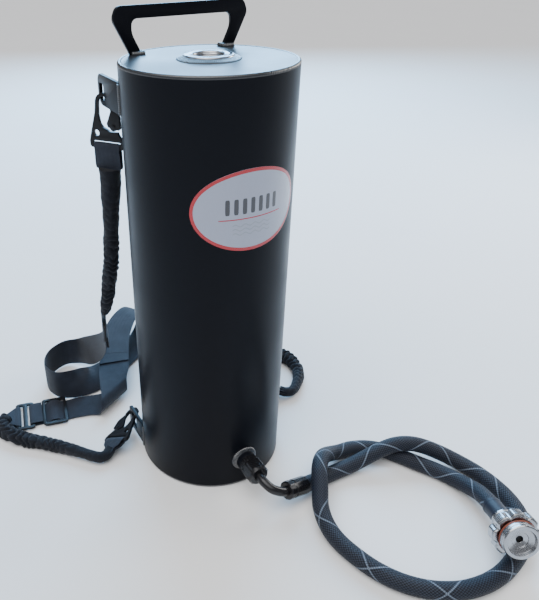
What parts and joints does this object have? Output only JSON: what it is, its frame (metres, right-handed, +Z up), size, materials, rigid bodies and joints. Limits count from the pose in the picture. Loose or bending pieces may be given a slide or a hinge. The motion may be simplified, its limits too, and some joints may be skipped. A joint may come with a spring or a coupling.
{
  "type": "backpack liquid tank",
  "caption": "Round welded metal backpack tank with a plate carry handle, strap lugs, bungee slings on snap hooks, and a braided outlet hose with a lobed coupling.",
  "frame": {"origin": "centre of the tank's underside, on the tank's axis, at the height of the surface it stands on", "axes": "+Z up along the tank's axis; the outlet and the label face -Y; the handle and the strap lugs are on the wearer's side, +Y; +X is to the right of someone who looks at the label"},
  "size_m": [0.5957, 0.7485, 0.6077],
  "materials": {
    "tank_shell": "satin black coat",
    "top_plate": "satin black coat",
    "bottom_plate": "satin black coat",
    "top_rim_weld": "satin black coat",
    "bottom_rim_weld": "satin black coat",
    "filler_weld": "satin black coat",
    "carry_handle": "satin black coat",
    "handle_weld_left_front": "satin black coat",
    "handle_weld_left_back": "satin black coat",
    "handle_weld_right_front": "satin black coat",
    "handle_weld_right_back": "satin black coat",
    "outlet_bung": "satin black coat",
    "outlet_weld": "satin black coat",
    "filler_bung": "turned",
    "label": "printed film",
    "left_upper_lug": "satin black coat",
    "left_upper_lug_weld": "satin black coat",
    "left_upper_hook_frame": "black oxide",
    "left_upper_hook_gate": "black oxide",
    "left_upper_gate_pin": "black oxide",
    "left_upper_webbing": "woven webbing",
    "left_upper_sleeve": "gathered woven sleeve",
    "left_upper_loop": "black oxide",
    "left_lower_lug": "satin black coat",
    "left_lower_lug_weld": "satin black coat",
    "left_lower_hook_frame": "black oxide",
    "left_lower_hook_gate": "black oxide",
    "left_lower_gate_pin": "black oxide",
    "left_lower_webbing": "woven webbing",
    "left_lower_sleeve": "gathered woven sleeve",
    "left_lower_loop": "black oxide",
    "left_adjuster": "black oxide",
    "left_strap": "woven webbing",
    "right_upper_lug": "satin black coat",
    "right_upper_lug_weld": "satin black coat",
    "right_upper_hook_frame": "black oxide",
    "right_upper_hook_gate": "black oxide",
    "right_upper_gate_pin": "black oxide",
    "right_upper_webbing": "woven webbing",
    "right_upper_sleeve": "gathered woven sleeve",
    "right_upper_loop": "black oxide",
    "right_lower_lug": "satin black coat",
    "right_lower_lug_weld": "satin black coat",
    "right_lower_hook_frame": "black oxide",
    "right_lower_hook_gate": "black oxide",
    "right_lower_gate_pin": "black oxide",
    "right_lower_webbing": "woven webbing",
    "right_lower_sleeve": "gathered woven sleeve",
    "right_lower_loop": "black oxide",
    "right_adjuster": "black oxide",
    "right_strap": "woven webbing",
    "outlet_adapter": "gloss black anodised",
    "swivel_nut": "gloss black anodised",
    "elbow_tube": "gloss black anodised",
    "hose_socket": "gloss black anodised",
    "hose": "nylon braid",
    "hose_collar": "smooth",
    "coupling_body": "turned",
    "coupling_ring": "turned",
    "coupling_o_ring": "smooth"
  },
  "bodies": {
    "tank": {"tank_shell": "tank_shell", "top_plate": "top_plate", "bottom_plate": "bottom_plate", "top_rim_weld": "top_rim_weld", "bottom_rim_weld": "bottom_rim_weld", "filler_weld": "filler_weld", "carry_handle": "carry_handle", "handle_weld_left_front": "handle_weld_left_front", "handle_weld_left_back": "handle_weld_left_back", "handle_weld_right_front": "handle_weld_right_front", "handle_weld_right_back": "handle_weld_right_back", "outlet_bung": "outlet_bung", "outlet_weld": "outlet_weld", "filler_bung": "filler_bung", "label": "label", "left_upper_lug": "left_upper_lug", "left_upper_lug_weld": "left_upper_lug_weld", "left_upper_sleeve": "left_upper_sleeve", "left_upper_loop": "left_upper_loop", "left_lower_lug": "left_lower_lug", "left_lower_lug_weld": "left_lower_lug_weld", "left_lower_sleeve": "left_lower_sleeve", "left_lower_loop": "left_lower_loop", "left_adjuster": "left_adjuster", "left_strap": "left_strap", "right_upper_lug": "right_upper_lug", "right_upper_lug_weld": "right_upper_lug_weld", "right_upper_sleeve": "right_upper_sleeve", "right_upper_loop": "right_upper_loop", "right_lower_lug": "right_lower_lug", "right_lower_lug_weld": "right_lower_lug_weld", "right_lower_sleeve": "right_lower_sleeve", "right_lower_loop": "right_lower_loop", "right_adjuster": "right_adjuster", "right_strap": "right_strap", "outlet_adapter": "outlet_adapter", "elbow_tube": "elbow_tube", "hose_socket": "hose_socket", "hose": "hose", "hose_collar": "hose_collar", "coupling_body": "coupling_body", "coupling_o_ring": "coupling_o_ring"},
    "left_upper_hook": {"left_upper_hook_frame": "left_upper_hook_frame", "left_upper_gate_pin": "left_upper_gate_pin", "left_upper_webbing": "left_upper_webbing"},
    "left_upper_gate": {"left_upper_hook_gate": "left_upper_hook_gate"},
    "left_lower_hook": {"left_lower_hook_frame": "left_lower_hook_frame", "left_lower_gate_pin": "left_lower_gate_pin", "left_lower_webbing": "left_lower_webbing"},
    "left_lower_gate": {"left_lower_hook_gate": "left_lower_hook_gate"},
    "right_upper_hook": {"right_upper_hook_frame": "right_upper_hook_frame", "right_upper_gate_pin": "right_upper_gate_pin", "right_upper_webbing": "right_upper_webbing"},
    "right_upper_gate": {"right_upper_hook_gate": "right_upper_hook_gate"},
    "right_lower_hook": {"right_lower_hook_frame": "right_lower_hook_frame", "right_lower_gate_pin": "right_lower_gate_pin", "right_lower_webbing": "right_lower_webbing"},
    "right_lower_gate": {"right_lower_hook_gate": "right_lower_hook_gate"},
    "swivel_nut": {"swivel_nut": "swivel_nut"},
    "coupling_ring": {"coupling_ring": "coupling_ring"}
  },
  "joints": [
    {"name": "left_upper_hook_swing", "type": "hinge", "parent": "tank", "child": "left_upper_hook", "pos_m": [-0.096, 0.0865, 0.501], "axis": [0.788, 0.6157, 0], "range_deg": [0, 12]},
    {"name": "left_upper_gate_open", "type": "hinge", "parent": "left_upper_hook", "child": "left_upper_gate", "pos_m": [-0.08923, 0.07783, 0.474], "axis": [-0.788, -0.6157, 0], "range_deg": [0, 20], "stiffness_Nm_per_rad": 0.15, "springref_deg": -20.05},
    {"name": "left_lower_hook_swing", "type": "hinge", "parent": "tank", "child": "left_lower_hook", "pos_m": [-0.0965, 0.0776, 0.0275], "axis": [-0.4378, 0.2488, 0.864], "range_deg": [0, 8]},
    {"name": "left_lower_gate_open", "type": "hinge", "parent": "left_lower_hook", "child": "left_lower_gate", "pos_m": [-0.12228, 0.06904, 0.0169], "axis": [0.4378, -0.2488, -0.864], "range_deg": [0, 15], "stiffness_Nm_per_rad": 0.15, "springref_deg": -20.05},
    {"name": "right_upper_hook_swing", "type": "hinge", "parent": "tank", "child": "right_upper_hook", "pos_m": [0.096, 0.0865, 0.501], "axis": [0.788, -0.6157, 0], "range_deg": [0, 12]},
    {"name": "right_upper_gate_open", "type": "hinge", "parent": "right_upper_hook", "child": "right_upper_gate", "pos_m": [0.08923, 0.07783, 0.474], "axis": [-0.788, 0.6157, 0], "range_deg": [0, 20], "stiffness_Nm_per_rad": 0.15, "springref_deg": -20.05},
    {"name": "right_lower_hook_swing", "type": "hinge", "parent": "tank", "child": "right_lower_hook", "pos_m": [0.0965, 0.0776, 0.0275], "axis": [-0.4378, -0.2488, -0.864], "range_deg": [0, 8]},
    {"name": "right_lower_gate_open", "type": "hinge", "parent": "right_lower_hook", "child": "right_lower_gate", "pos_m": [0.12228, 0.06904, 0.0169], "axis": [0.4378, 0.2488, 0.864], "range_deg": [0, 15], "stiffness_Nm_per_rad": 0.15, "springref_deg": -20.05},
    {"name": "swivel_nut_turn", "type": "hinge", "parent": "tank", "child": "swivel_nut", "pos_m": [0, -0.1308, 0.045], "axis": [0, -1, 0], "continuous": true},
    {"name": "coupling_ring_turn", "type": "hinge", "parent": "tank", "child": "coupling_ring", "pos_m": [0.2152, -0.3654, 0.0535], "axis": [-0.4441, -0.8421, 0.306], "continuous": true}
  ]
}
